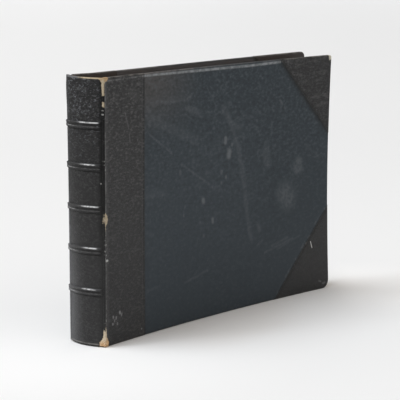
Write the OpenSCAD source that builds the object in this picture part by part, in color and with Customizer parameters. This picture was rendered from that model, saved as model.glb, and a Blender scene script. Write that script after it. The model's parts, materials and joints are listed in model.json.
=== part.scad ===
// Half-leather photograph album, closed and standing on its tail edges.
// +X runs from the spine to the fore-edge, the front cover faces -Y and +Z is up.
// The origin is under the middle of the album, on the surface that it stands on.

/* [Covers] */
// Height of the covers, from tail to head
cover_height = 265; // [220:1:320]
// Reach of the covers, from the joint axis to the fore-edge
cover_width = 378; // [320:1:440]
// Thickness of the millboard in each cover
board_thickness = 3; // [2:0.1:4]
// Thickness of the leather
leather_thickness = 0.8; // [0.6:0.1:1]
// Thickness of the book cloth
cloth_thickness = 0.6; // [0.4:0.1:0.8]
// Thickness of the pastedown inside each cover
pastedown_thickness = 0.25; // [0.15:0.05:0.4]
// Width of the covering that is turned in over the edges
turn_in = 15; // [10:1:20]
// Width of the leather strip on each cover, from the joint axis
strip_width = 65; // [40:1:90]
// Length of the leather corners along the edges of the cover
corner_reach = 87; // [50:1:100]
// Radius of the corners at the fore-edge
corner_radius = 4; // [2:0.5:8]
// Distance from the edges of the cover to the pastedown
pastedown_margin = 6; // [2:0.5:10]
// Distance that the front cover bows inwards at its middle
front_bow = 8; // [0:0.5:9]
// Distance that each cover leans inwards at the fore-edge
cover_lean = 6; // [2:0.5:7]

/* [Spine] */
// Width of the spine, over the ridges of the two joints
spine_width = 47.4; // [46:0.2:60]
// Distance that the middle of the spine stands out from the joints
spine_bulge = 6; // [4:0.5:9]
// Radius of the leather ridge along each joint
joint_ridge = 1.2; // [0.8:0.1:1.6]
// Distance from each joint axis to the spine edge of the board
joint_gap = 3; // [2.2:0.1:5]
// Height of the spine leather's tail above the tails of the covers
spine_rise = 2; // [0.5:0.5:5]
// Thickness of the card that stiffens the spine
stiffener_thickness = 0.8; // [0.5:0.1:1.2]
// Length of spine beside each joint that holds nothing but leather
bare_joint = 4; // [3.5:0.5:6]
// Number of raised bands
band_count = 5; // [3:1:5]
// Height of the lowest raised band
first_band = 55.2; // [40:0.2:60]
// Distance between raised bands
band_spacing = 41; // [30:0.5:45]
// Height of each band along the spine
band_width = 5.5; // [4:0.5:8]
// Distance that each band stands out of the spine
band_rise = 1.6; // [1.2:0.1:2.2]

/* [Leaves] */
// Number of leaves
leaf_count = 10; // [4:2:10]
// Thickness of a card leaf
leaf_thickness = 1; // [0.6:0.1:1.1]
// Distance from the head and tail of the covers to the leaves
leaf_square = 6.5; // [4:0.5:10]
// Distance from the fore-edge of the covers to the leaves
fore_square = 7; // [4:0.5:12]
// Thickness of the linen guards
guard_thickness = 0.4; // [0.3:0.05:0.5]
// Length of bare linen between a stub and its leaf
guard_reach = 4; // [3:0.5:8]
// Depth that a guard is set into its leaf
guard_lap = 10; // [6:1:20]
// Radius of the round edge on which a sheet turns
bead_radius = 0.3; // [0.2:0.05:0.4]
// Thickness of a free endpaper
endpaper_thickness = 0.3; // [0.2:0.05:0.4]
// Width of a mounted print
print_width = 250; // [150:1:260]
// Height of a mounted print
print_height = 195; // [120:1:200]
// Thickness of a mounted print
print_thickness = 0.15; // [0.1:0.05:0.2]

/* [Sewing] */
// Distance from the joint axes to the back of the sewn block
block_back = 2.5; // [2.2:0.1:4]
// Length of the stubs that fill the spine
stub_length = 13; // [10:0.5:20]
// Clear space between neighbouring stubs
stub_gap = 0.6; // [0.4:0.1:1]
// Width of the slot in a folded stub
stub_slot = 0.9; // [0.7:0.1:1.2]
// Thickness of a stub where it is folded
stub_fold = 1; // [0.6:0.1:1.5]
// Radius of the sewing thread
thread_radius = 0.3; // [0.2:0.05:0.35]
// Distance from the head and tail of the leaves to the sewing thread
thread_margin = 20; // [10:1:40]
// Width of a sewing tape
tape_width = 12; // [8:1:16]
// Thickness of a sewing tape
tape_thickness = 0.4; // [0.3:0.05:0.6]
// Thickness of the cloth that lines the sewn block
lining_thickness = 0.4; // [0.3:0.05:0.6]
// Thickness of the paper of the hollow tube
hollow_wall = 0.4; // [0.3:0.05:0.6]
// Distance from the turned-in spine leather to the hollow tube
hollow_margin = 1; // [0.5:0.5:4]
// Radius of the head and tail bands
end_band_radius = 1.6; // [1:0.1:2]

/* [Hidden] */
$fn = 180;
running_gap = 0.3;
glue_gap = 0.05;
tiny = 0.001;
// Straight steps that make up a bowed sheet
bow_steps = 12;
// Distance that a cut runs past what it cuts
past = 1;

front = -1;
back = 1;
bow_line = [for (i = [0:bow_steps]) let (u = i / bow_steps) [u * cover_width, 4 * front_bow * u * (1 - u)]];

joint_y = spine_width / 2 - joint_ridge;
cover_depth = 2 * leather_thickness + board_thickness + pastedown_thickness;
board_inside = leather_thickness + board_thickness;
strip_start = joint_ridge + running_gap;

arc_radius = (joint_y * joint_y + spine_bulge * spine_bulge) / (2 * spine_bulge);
arc_x = arc_radius - spine_bulge;
joint_angle = asin(joint_y / arc_radius);
bare_angle = bare_joint / arc_radius * 180 / PI;
inner_angle = joint_angle - bare_angle;
leather_out = arc_radius + leather_thickness / 2;
leather_in = arc_radius - leather_thickness / 2;
stiff_out = leather_in - glue_gap;
stiff_in = stiff_out - stiffener_thickness;
roll_out = stiff_in - glue_gap;
roll_in = roll_out - leather_thickness;
roll_radius = (leather_out - roll_in) / 2;
spine_head = cover_height;

// A raised band is a slice of a circle, sunk into the spine
ridge_radius = (band_width * band_width / 4 + band_rise * band_rise) / (2 * band_rise);
ridge_centre = leather_out + band_rise - ridge_radius;
groove_radius = ridge_radius - leather_thickness;
band_heights = [for (i = [0:band_count - 1]) first_band + i * band_spacing];

sheet_count = leaf_count + 2;
leaf_tail = leaf_square;
leaf_head = cover_height - leaf_square;
stub_end = block_back + stub_length;
guard_axis = stub_end + bead_radius + running_gap / 3;
leaf_start = guard_axis + guard_reach;
leaf_end = cover_width - fore_square;
print_start = (leaf_start + guard_lap + leaf_end - print_width) / 2;
print_tail = (cover_height - print_height) / 2;

// Reach of the sewn block to the front and the back of the spine
block_half_front = -stub_y(0) + stub_thickness() / 2;
block_half_back = stub_y(sheet_count - 1) + stub_thickness() / 2;
lining_out = block_back - tape_thickness;
lining_in = lining_out - lining_thickness;

spine_reach = spine_bulge + leather_thickness / 2 + band_rise;
centre_x = (cover_width - spine_reach) / 2;
beyond = cover_width + cover_height;

leather_colour = [0.2, 0.2, 0.21];
cloth_colour = [0.2, 0.23, 0.25];
board_colour = [0.5, 0.4, 0.28];
paper_colour = [0.87, 0.82, 0.7];
linen_colour = [0.7, 0.64, 0.52];
thread_colour = [0.85, 0.82, 0.74];
print_colour = [0.5, 0.4, 0.3];
silk_colour = [0.45, 0.15, 0.13];

function two_digits(i) = i < 10 ? str("0", i) : str(i);
function band_name(i) = str("raised_band_", i);
function leaf_name(i) = str("leaf_", two_digits(i));
function guard_name(i) = str("guard_", two_digits(i));
function prints_name(i) = str("prints_", two_digits(i));

SPINE_NODES = ["spine_leather", "spine_stiffener", "spine_hollow", "spine_lining", "sewing_tapes",
  "sewing_thread", "guard_stubs", "head_band", "tail_band"];
FRONT_NODES = ["front_board", "front_joint_leather", "front_cloth", "front_head_corner", "front_tail_corner",
  "front_infill", "front_pastedown", "front_endpaper"];
BACK_NODES = ["back_board", "back_joint_leather", "back_cloth", "back_head_corner", "back_tail_corner",
  "back_infill", "back_pastedown", "back_endpaper"];

// Distance that a cover bows inwards at a distance x from its joint
function bow_at(side, x) = side == front ? lookup(x, bow_line) : 0;
// Place of a layer of a cover, at a depth under its leather
function cover_y(side, x, depth) =
  side * (joint_y - cover_lean * x / cover_width - bow_at(side, x) - depth);
// Place of a sheet, which lies between the covers at a share of the way from front to back
function sheet_y(share, x) =
  (1 - share) * cover_y(front, x, cover_depth) + share * cover_y(back, x, cover_depth);
function share(i) = (i + 0.5) / sheet_count;
function stub_y(i) = sheet_y(share(i), guard_axis);
function stub_thickness() = stub_y(1) - stub_y(0) - stub_gap;
// Points along a sheet where its outline bends
function stops(x0, x1) = concat([x0], [for (p = bow_line) if (p[0] > x0 + tiny && p[0] < x1 - tiny) p[0]], [x1]);
function reversed(list) = [for (i = [len(list) - 1:-1:0]) list[i]];

// Puts the origin under the middle of the album
module placed() {
  translate([-centre_x, 0, 0]) children();
}

// Outline of a layer of a cover, seen from above
module layer_outline(side, x0, depth0, depth1) {
  xs = stops(x0, cover_width);
  polygon(concat(
    [for (x = xs) [x, cover_y(side, x, depth0)]],
    [for (x = reversed(xs)) [x, cover_y(side, x, depth1)]]));
}

// Outline of a cover seen from its face, set in from its edges
module face_outline(x0, inset) {
  radius = max(corner_radius - inset, 0);
  right = cover_width - inset;
  height = cover_height - 2 * inset;
  translate([x0, inset]) square([right - radius - x0, height]);
  if (radius > 0) {
    translate([x0, inset + radius]) square([right - x0, height - 2 * radius]);
    for (z = [inset + radius, inset + height - radius])
      translate([right - radius, z]) circle(r = radius);
  }
}

// Layer of a cover, with its edges set in
module layer(side, x0, depth0, depth1, inset) {
  intersection() {
    linear_extrude(cover_height) layer_outline(side, x0, depth0, depth1);
    translate([0, beyond / 2, 0]) rotate([90, 0, 0]) linear_extrude(beyond) face_outline(x0, inset);
  }
}

// Covering of a whole cover, wrapped over its edges and turned in
module wrapped(side, x0, thickness) {
  inset = leather_thickness - thickness;
  difference() {
    layer(side, x0, inset, board_inside + thickness, inset);
    layer(side, x0 - past, leather_thickness, board_inside, leather_thickness);
    layer(side, x0 - past, board_inside, board_inside + 2 * thickness, leather_thickness + turn_in);
  }
}

// Part of a cover where a leather corner lies, at the head or the tail
module corner_zone(at_head) {
  z = at_head ? cover_height : 0;
  up = at_head ? 1 : -1;
  over = corner_reach;
  translate([0, beyond / 2, 0]) rotate([90, 0, 0]) linear_extrude(beyond)
    polygon([
      [cover_width - corner_reach - over, z + up * over],
      [cover_width + over, z - up * (corner_reach + over)],
      [cover_width + over, z + up * over]]);
}

// Part of a cover where the leather strip lies
module strip_zone() {
  translate([-strip_width, -beyond / 2, -past]) cube([2 * strip_width, beyond, cover_height + 2 * past]);
}

module board(side) {
  color(board_colour) placed() layer(side, joint_gap, leather_thickness, board_inside, leather_thickness);
}

module joint_leather(side) {
  color(leather_colour) placed() intersection() {
    union() {
      layer(side, strip_start, 0, leather_thickness, 0);
      wrapped(side, joint_gap, leather_thickness);
    }
    strip_zone();
  }
}

module cloth_side(side) {
  color(cloth_colour) placed() difference() {
    wrapped(side, joint_gap, cloth_thickness);
    strip_zone();
    corner_zone(true);
    corner_zone(false);
  }
}

module leather_corner(side, at_head) {
  color(leather_colour) placed() intersection() {
    wrapped(side, joint_gap, leather_thickness);
    corner_zone(at_head);
  }
}

module infill(side) {
  color(paper_colour) placed()
    layer(side, joint_gap, board_inside, board_inside + cloth_thickness, leather_thickness + turn_in);
}

module pastedown(side) {
  color(paper_colour) placed()
    layer(side, joint_gap, cover_depth - pastedown_thickness, cover_depth, pastedown_margin);
}

// Turns a profile, drawn as distance from the spine's centre and height, along the spine's curve
module along_spine(half_angle) {
  translate([arc_x, 0, 0]) rotate([0, 0, 180 - half_angle]) rotate_extrude(angle = 2 * half_angle) children();
}

// Round section at each raised band
module at_bands(radius) {
  for (z = band_heights)
    translate([ridge_centre, z]) circle(r = radius);
}

// Everything outside a distance from the spine's centre
module outside(radius) {
  translate([radius, 0]) square([beyond, cover_height]);
}

// Rolled edge of the spine leather and the leather turned in behind it
module rolled_edge(edge, inwards) {
  translate([roll_in + roll_radius, edge + inwards * roll_radius]) circle(r = roll_radius);
  low = min(edge + inwards * roll_radius, edge + inwards * turn_in);
  translate([roll_in, low]) square([leather_thickness, turn_in - roll_radius]);
}

module spine_leather() {
  color(leather_colour) placed() {
    difference() {
      union() {
        along_spine(joint_angle) translate([leather_in, spine_rise])
          square([leather_thickness, spine_head - spine_rise]);
        along_spine(inner_angle) intersection() {
          at_bands(ridge_radius);
          outside(leather_in);
        }
        along_spine(inner_angle) rolled_edge(spine_head, -1);
        along_spine(inner_angle) rolled_edge(spine_rise, 1);
        for (y = [-joint_y, joint_y])
          translate([0, y, spine_rise]) cylinder(r = joint_ridge, h = spine_head - spine_rise);
      }
      along_spine(inner_angle) at_bands(groove_radius);
    }
  }
}

module raised_band(i) {
  color(board_colour) placed() along_spine(inner_angle) intersection() {
    translate([ridge_centre, band_heights[i - 1]]) circle(r = groove_radius - glue_gap);
    outside(stiff_out + glue_gap);
  }
}

module spine_stiffener() {
  low = spine_rise + 2 * roll_radius;
  color(board_colour) placed() along_spine(inner_angle) translate([stiff_in, low])
    square([stiffener_thickness, spine_head - 2 * roll_radius - low]);
}

// Flat strip across the back of the sewn block
module across_block(x0, x1, low, high) {
  translate([x0, -block_half_front, low]) cube([x1 - x0, block_half_front + block_half_back, high - low]);
}

// Paper tube between the spine and the lining, flat on one side and round on the other
module spine_hollow() {
  low = spine_rise + turn_in + hollow_margin;
  high = spine_head - turn_in - hollow_margin;
  color(paper_colour) placed() translate([0, 0, low]) linear_extrude(high - low) difference() {
    hollow_section(0);
    hollow_section(hollow_wall);
  }
}

module hollow_section(inset) {
  intersection() {
    translate([arc_x, 0]) circle(r = stiff_in - glue_gap - inset);
    translate([-spine_bulge, inset - block_half_front])
      square([spine_bulge + lining_in - inset, block_half_front + block_half_back - 2 * inset]);
  }
}

module spine_lining() {
  color(linen_colour) placed() across_block(lining_in, lining_out, leaf_tail, leaf_head);
}

module sewing_tapes() {
  color(linen_colour) placed() for (z = band_heights)
    across_block(lining_out, block_back, z - tape_width / 2, z + tape_width / 2);
}

// Strand in the fold of each stub
module sewing_thread() {
  strand_x = block_back + stub_fold + thread_radius + glue_gap;
  color(thread_colour) placed() for (i = [0:sheet_count - 1])
    translate([strand_x, stub_y(i), leaf_tail + thread_margin])
      cylinder(r = thread_radius, h = leaf_head - leaf_tail - 2 * thread_margin);
}

// Folded stubs, open towards the leaves
module guard_stubs() {
  thickness = stub_thickness();
  color(linen_colour) placed() for (i = [0:sheet_count - 1])
    translate([block_back, stub_y(i), leaf_tail]) linear_extrude(leaf_head - leaf_tail) difference() {
      translate([0, -thickness / 2]) square([stub_length, thickness]);
      translate([stub_fold, -stub_slot / 2]) square([stub_length, stub_slot]);
    }
}

// Sewn band on the end of the block, flat where it sits
module end_band(edge, outwards) {
  sunk = end_band_radius / 2;
  color(silk_colour) placed() translate([block_back + end_band_radius, block_half_back, edge])
    rotate([90, 0, 0]) linear_extrude(block_half_front + block_half_back) intersection() {
      translate([0, outwards * sunk]) circle(r = end_band_radius);
      translate([-end_band_radius, outwards > 0 ? 0 : -3 * end_band_radius])
        square([2 * end_band_radius, 3 * end_band_radius]);
    }
}

// Outline of a sheet between the covers, seen from above, moved sideways from its middle line
module sheet_outline(i, x0, x1, thickness, aside = 0) {
  xs = stops(x0, x1);
  polygon(concat(
    [for (x = xs) [x, sheet_y(share(i), x) + aside - thickness / 2]],
    [for (x = reversed(xs)) [x, sheet_y(share(i), x) + aside + thickness / 2]]));
}

module upright(low, high) {
  translate([0, 0, low]) linear_extrude(high - low) children();
}

// Round edge on which a sheet turns
module turning_edge(i) {
  translate([guard_axis, stub_y(i)]) circle(r = bead_radius);
}

module endpaper(i) {
  color(paper_colour) placed() upright(leaf_tail, leaf_head) {
    turning_edge(i);
    sheet_outline(i, guard_axis, leaf_end, endpaper_thickness);
  }
}

module leaf(i) {
  color(paper_colour) placed() upright(leaf_tail, leaf_head) difference() {
    sheet_outline(i, leaf_start, leaf_end, leaf_thickness);
    sheet_outline(i, leaf_start, leaf_start + guard_lap, guard_thickness);
  }
}

module guard(i) {
  color(linen_colour) placed() upright(leaf_tail, leaf_head) {
    turning_edge(i);
    sheet_outline(i, guard_axis, leaf_start + guard_lap, guard_thickness);
  }
}

module prints(i) {
  aside = (leaf_thickness + print_thickness) / 2;
  color(print_colour) placed() upright(print_tail, print_tail + print_height)
    for (face = [-1, 1])
      sheet_outline(i, print_start, print_start + print_width, print_thickness, face * aside);
}

spine_leather();
spine_stiffener();
spine_hollow();
spine_lining();
sewing_tapes();
sewing_thread();
guard_stubs();
end_band(leaf_head, 1);  // head_band
end_band(leaf_tail, -1);  // tail_band
board(front);  // front_board
joint_leather(front);  // front_joint_leather
cloth_side(front);  // front_cloth
leather_corner(front, true);  // front_head_corner
leather_corner(front, false);  // front_tail_corner
infill(front);  // front_infill
pastedown(front);  // front_pastedown
endpaper(0);  // front_endpaper
board(back);  // back_board
joint_leather(back);  // back_joint_leather
cloth_side(back);  // back_cloth
leather_corner(back, true);  // back_head_corner
leather_corner(back, false);  // back_tail_corner
infill(back);  // back_infill
pastedown(back);  // back_pastedown
endpaper(sheet_count - 1);  // back_endpaper
for (i = [1:band_count])
  raised_band(i);
for (i = [1:leaf_count])
  leaf(i);
for (i = [1:leaf_count])
  guard(i);
for (i = [1:leaf_count])
  prints(i);
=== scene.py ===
# Half-leather photograph album, closed and standing on its tail edges, in a white studio.
# Sizes are in millimetres, from the front joint's axis (x), the middle of the spine (y) and the tail (z).
import json
import math

import bmesh
import bpy
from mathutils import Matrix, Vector


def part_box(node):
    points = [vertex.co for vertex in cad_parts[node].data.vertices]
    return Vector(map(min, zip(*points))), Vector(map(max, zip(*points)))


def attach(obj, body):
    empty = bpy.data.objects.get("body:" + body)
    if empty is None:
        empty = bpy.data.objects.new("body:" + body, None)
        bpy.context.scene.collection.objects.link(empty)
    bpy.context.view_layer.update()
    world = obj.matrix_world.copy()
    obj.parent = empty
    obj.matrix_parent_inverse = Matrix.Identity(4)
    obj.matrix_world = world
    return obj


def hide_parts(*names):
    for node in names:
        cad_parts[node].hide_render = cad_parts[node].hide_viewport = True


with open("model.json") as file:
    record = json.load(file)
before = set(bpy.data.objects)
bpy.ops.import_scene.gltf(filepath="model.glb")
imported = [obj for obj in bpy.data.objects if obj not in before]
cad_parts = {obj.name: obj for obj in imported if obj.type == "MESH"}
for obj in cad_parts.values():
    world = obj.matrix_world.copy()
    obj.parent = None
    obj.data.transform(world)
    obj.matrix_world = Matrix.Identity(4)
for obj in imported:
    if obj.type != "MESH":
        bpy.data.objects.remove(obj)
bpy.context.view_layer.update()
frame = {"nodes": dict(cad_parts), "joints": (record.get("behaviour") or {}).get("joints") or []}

MM = 0.001
FRONT = -1
BACK = 1
SIDE_NAMES = {FRONT: "front", BACK: "back"}
SHARP_DEGREES = 40.0
ACROSS_DIAGONAL = 0.7071

# Sizes that the frame holds
hinge_places = {joint["name"]: joint["pos_m"] for joint in frame["joints"]}
axis_x = hinge_places["front_cover_hinge"][0] / MM
joint_y = hinge_places["back_cover_hinge"][1] / MM
cover_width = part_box("front_head_corner")[1].x / MM - axis_x
cover_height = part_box("front_head_corner")[1].z / MM
leaf_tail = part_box("leaf_01")[0].z / MM
leaf_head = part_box("leaf_01")[1].z / MM
leaf_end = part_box("leaf_01")[1].x / MM - axis_x
spine_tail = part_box("spine_leather")[0].z / MM
spine_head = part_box("spine_leather")[1].z / MM
print_low, print_high = (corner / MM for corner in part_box("prints_01"))

# Covers
board_thickness = 3.0
leather_thickness = 0.8
cloth_thickness = 0.6
pastedown_thickness = 0.25
pastedown_margin = 9.5
turn_in = 15.0
strip_start = 1.5
joint_gap = 3.0
strip_width = 65.0
head_reach = 88.0
tail_reach = 95.0
cover_lean = 6.0
cover_bow = {FRONT: 8.0, BACK: -2.7}
corner_flare = {FRONT: 3.2, BACK: 0.6}
joint_splay = {FRONT: 0.0, BACK: 0.5}
joint_clear = {FRONT: 0.0, BACK: 0.6}
head_splay = {FRONT: 0.0, BACK: 5.6}
head_rise = {FRONT: -0.7, BACK: 1.1}
joint_rise = {FRONT: 0.0, BACK: 0.7}
joint_rise_span = (6.0, 36.0)
joint_clear_reach = 14.0
head_corner_radius = {FRONT: 3.0, BACK: 5.5}
tail_corner_radius = {FRONT: 10.0, BACK: 5.0}
arris = 1.2
board_arris = 0.4
infill_arris = 0.1
pastedown_arris = 0.08
glue_gap = 0.05
strip_line = 1.9
corner_line = 1.6
line_depth = 0.28
cover_steps = (62, 44)
infill_steps = (40, 28)
cover_border = 16.0
board_inside = leather_thickness + board_thickness
cover_depth = 2 * leather_thickness + board_thickness + pastedown_thickness

# Spine
spine_bulge = 6.0
joint_ridge = 1.2
skin_thickness = 0.5
first_band = 54.7
band_spacing = 41
band_heights = [first_band + band_spacing * i for i in range(5)]
# Angles on the spine between which the upper edge of each band gets a painted highlight
band_lights = [(-20, 0), (-22, -2), (-24, 1), (-20, 1), (-25, 4)]
band_half = 3.7
band_rise = 1.25
roll_radius = 1.25
spine_low = spine_tail - 0.8
head_swell = 0.7
head_cap = 1.5
head_lift = 0.7
swell_span = (150.0, 262.0)
cap_span = (232.0, 262.0)
spine_lean = 1.5
ridge_room = 1.3
face_room = 0.3
head_room = 0.6
head_room_span = (255.0, 262.0)
ridge_turn = 185.0
joint_roll_radius = 0.45
joint_flap = 1.2
arc_radius = (joint_y ** 2 + spine_bulge ** 2) / (2 * spine_bulge)
arc_x = arc_radius - spine_bulge
arc_outside = arc_radius + leather_thickness / 2

# Leaves
leaf_count = 10
sheet_count = leaf_count + 2
leaf_thickness = 1.0
print_thickness = 0.15
endpaper_thickness = 0.3
sheet_steps = (36, 16)
leaf_corner = 2.5
leaf_arris = 0.2
print_corner = 0.4
print_arris = 0.04
endpaper_corner = 1.5
endpaper_arris = 0.06


def spot(x, y, z):
    """Place in the frame's metres"""
    return Vector(((x + axis_x) * MM, y * MM, z * MM))


def cover_spot(side, x, depth, z):
    """Place on a bowed cover, at a depth under its outer face"""
    u = x / cover_width
    v = 2 * z / cover_height - 1
    share = z / cover_height
    inwards = cover_lean * u + cover_bow[side] * 4 * u * (1 - u) - corner_flare[side] * u * v * v
    splay = (joint_splay[side] + (head_splay[side] - joint_splay[side]) * u) * share
    near_joint = 1 - smooth_step(*joint_rise_span, x)
    rise = head_rise[side] * u * share + joint_rise[side] * near_joint * share ** 8
    clear = joint_clear[side] * share ** 2 * (1 - smooth_step(0.0, joint_clear_reach, x))
    return spot(x + clear, side * (joint_y - inwards + splay - depth), z + rise)


def sheet_spot(number, x, depth, z):
    """Place on a sheet between the covers, counted from the front, at a distance from its middle"""
    share = (number + 0.5) / sheet_count
    u = x / cover_width
    lean = joint_y - cover_depth - cover_lean * u
    bow = cover_bow[FRONT] * 4 * u * (1 - u)
    return spot(x, share * lean - (1 - share) * (lean - bow) + depth, z)


def back_lean(z):
    """Distance that the back joint leans outwards towards the head"""
    return spine_lean * z / cover_height


def clear_of_cover(x, y, z, ridge):
    """Place on the spine, moved out of the way of the back cover where it is when fully open"""
    share = z / cover_height
    at_head = head_room * smooth_step(*head_room_span, z)
    edge = -ridge_room - joint_clear[BACK] * share ** 2 + at_head
    face = joint_y - face_room - joint_splay[BACK] * share - at_head
    if ridge > 0:
        return max(x, edge), min(y, face) if ridge > ridge_turn else y
    return x, min(y, face)


def smooth_step(low, high, value):
    """From 0 at low to 1 at high, smoothly"""
    t = min(max((value - low) / (high - low), 0), 1)
    return t * t * (3 - 2 * t)


# Shader maths

class Tone:
    """Output of a shader node, on which arithmetic adds Math nodes"""

    def __init__(self, finish, socket):
        self.finish = finish
        self.socket = socket

    def other(self, output):
        return Tone(self.finish, self.socket.node.outputs[output])

    def maths(self, operation, *values):
        return self.finish.node("Math", {"operation": operation}, dict(enumerate(values)))

    def __add__(self, value):
        return self.maths("ADD", self, value)

    def __radd__(self, value):
        return self.maths("ADD", value, self)

    def __sub__(self, value):
        return self.maths("SUBTRACT", self, value)

    def __rsub__(self, value):
        return self.maths("SUBTRACT", value, self)

    def __mul__(self, value):
        return self.maths("MULTIPLY", self, value)

    def __rmul__(self, value):
        return self.maths("MULTIPLY", value, self)

    def __truediv__(self, value):
        return self.maths("DIVIDE", self, value)

    def __pow__(self, value):
        return self.maths("POWER", self, value)

    def __abs__(self):
        return self.maths("ABSOLUTE", self)


class Nodes:
    """Shader nodes of a material or a world"""

    def __init__(self, tree):
        self.tree = tree

    def node(self, kind, settings, sockets, output=0):
        made = self.tree.nodes.new("ShaderNode" + kind)
        for name, value in settings.items():
            if name == "stops":
                self.set_stops(made.color_ramp, value)
            else:
                setattr(made, name, value)
        for name, value in sockets.items():
            self.feed(made.inputs[name], value)
        return Tone(self, made.outputs[output])

    def set_stops(self, ramp, stops):
        while len(ramp.elements) < len(stops):
            ramp.elements.new(0.5)
        for element, (position, level) in zip(ramp.elements, stops):
            element.position = position
            element.color = (level, level, level, 1)

    def feed(self, socket, value):
        if isinstance(value, Tone):
            self.tree.links.new(value.socket, socket)
        else:
            socket.default_value = value


class Finish(Nodes):
    """Material of one finish, with its places in millimetres"""

    def __init__(self, name, constants):
        self.material = bpy.data.materials.new(name)
        self.material.use_nodes = True
        super().__init__(self.material.node_tree)
        self.shader = self.tree.nodes["Principled BSDF"]
        for socket, value in constants.items():
            self.shader.inputs[socket].default_value = value
        metres = self.node("TexCoord", {}, {}, "Object")
        self.place = self.node("VectorMath", {"operation": "SCALE"}, {0: metres, "Scale": 1 / MM})
        across = self.node("SeparateXYZ", {}, {0: self.place}, "X")
        self.x = across - axis_x
        self.y = across.other("Y")
        self.z = across.other("Z")
        self.colour = None

    def stretched(self, x, y, z):
        return self.node("VectorMath", {"operation": "MULTIPLY"}, {0: self.place, 1: (x, y, z)})

    def noise(self, size, detail=2.0, roughness=0.5, place=None, distortion=0.0):
        sockets = {"Vector": place or self.place, "Scale": 1 / size, "Detail": detail,
                   "Roughness": roughness, "Distortion": distortion}
        return self.node("TexNoise", {}, sockets)

    def cells(self, size, place=None, feature="DISTANCE_TO_EDGE"):
        sockets = {"Vector": place or self.place, "Scale": 1 / size}
        return self.node("TexVoronoi", {"feature": feature}, sockets)

    def rise(self, value, low, high):
        """From 0 at low to 1 at high, smoothly"""
        settings = {"interpolation_type": "SMOOTHSTEP", "clamp": True}
        return self.node("MapRange", settings, {"Value": value, "From Min": low, "From Max": high})

    def fall(self, value, low, high):
        return 1 - self.rise(value, low, high)

    def ramp(self, value, stops):
        return self.node("ValToRGB", {"stops": stops}, {0: value}, "Color")

    def along(self, value, length, pairs):
        """Number that changes evenly between given places on a length"""
        most = max(number for _, number in pairs)
        return self.ramp(value / length, [(place / length, number / most) for place, number in pairs]) * most

    def larger(self, first, second):
        return first.maths("MAXIMUM", first, second)

    def mix(self, share, first, second):
        colours = [value if isinstance(value, Tone) else (*value, 1) for value in (first, second)]
        return self.node("Mix", {"data_type": "RGBA"}, {0: share, 6: colours[0], 7: colours[1]}, 2)

    def lay(self, share, tone):
        """Lays another colour over a share of the colour so far"""
        self.colour = self.mix(share, self.colour, tone)

    def patches(self, size, detail, roughness, low, high):
        """Patches of noise, from 0 outside them to 1 inside"""
        return self.rise(self.noise(size, detail, roughness), low, high)

    def length(self, first, second):
        return (first * first + second * second) ** 0.5

    def past_head_diagonal(self):
        """Distance past the edge of the head corner"""
        return (self.x - cover_width + self.z - cover_height + head_reach) * ACROSS_DIAGONAL

    def held(self, name):
        """Value that the mesh holds at each of its points"""
        return self.node("Attribute", {"attribute_name": name}, {}, "Fac")

    def stroke(self, x, z, start, end, width):
        """Line on a cover, from one place to another, soft at its edges"""
        along_x = end[0] - start[0]
        along_z = end[1] - start[1]
        from_x = x - start[0]
        from_z = z - start[1]
        share = (from_x * along_x + from_z * along_z) / (along_x ** 2 + along_z ** 2)
        share = share.maths("MINIMUM", share.maths("MAXIMUM", share, 0.0), 1.0)
        away = self.length(from_x - share * along_x, from_z - share * along_z)
        return self.fall(away, width * 0.2, width)

    def marks(self, lines, wobble=0.0):
        """Marks on the front cover, each with a start, an end, a width and a strength"""
        strongest = None
        x = self.x
        z = self.z
        if wobble:
            x = x + (self.noise(11.0, 3.0, 0.6) - 0.5) * wobble
            z = z + (self.noise(8.0, 3.0, 0.6) - 0.5) * wobble
        for start, end, width, strength in lines:
            line = self.stroke(x, z, start, end, width) * strength
            strongest = line if strongest is None else self.larger(strongest, line)
        return strongest * self.fall(self.y, -1.0, 1.0)

    def done(self, roughness, height, depth):
        """Joins the colour, a roughness and a height, whose full depth is in millimetres, to the shader"""
        bump = self.node("Bump", {}, {"Height": height, "Distance": depth * MM, "Strength": 1.0})
        self.feed(self.shader.inputs["Base Color"], self.colour)
        self.feed(self.shader.inputs["Roughness"], roughness)
        self.feed(self.shader.inputs["Normal"], bump)
        return self.material


# Finishes

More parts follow.
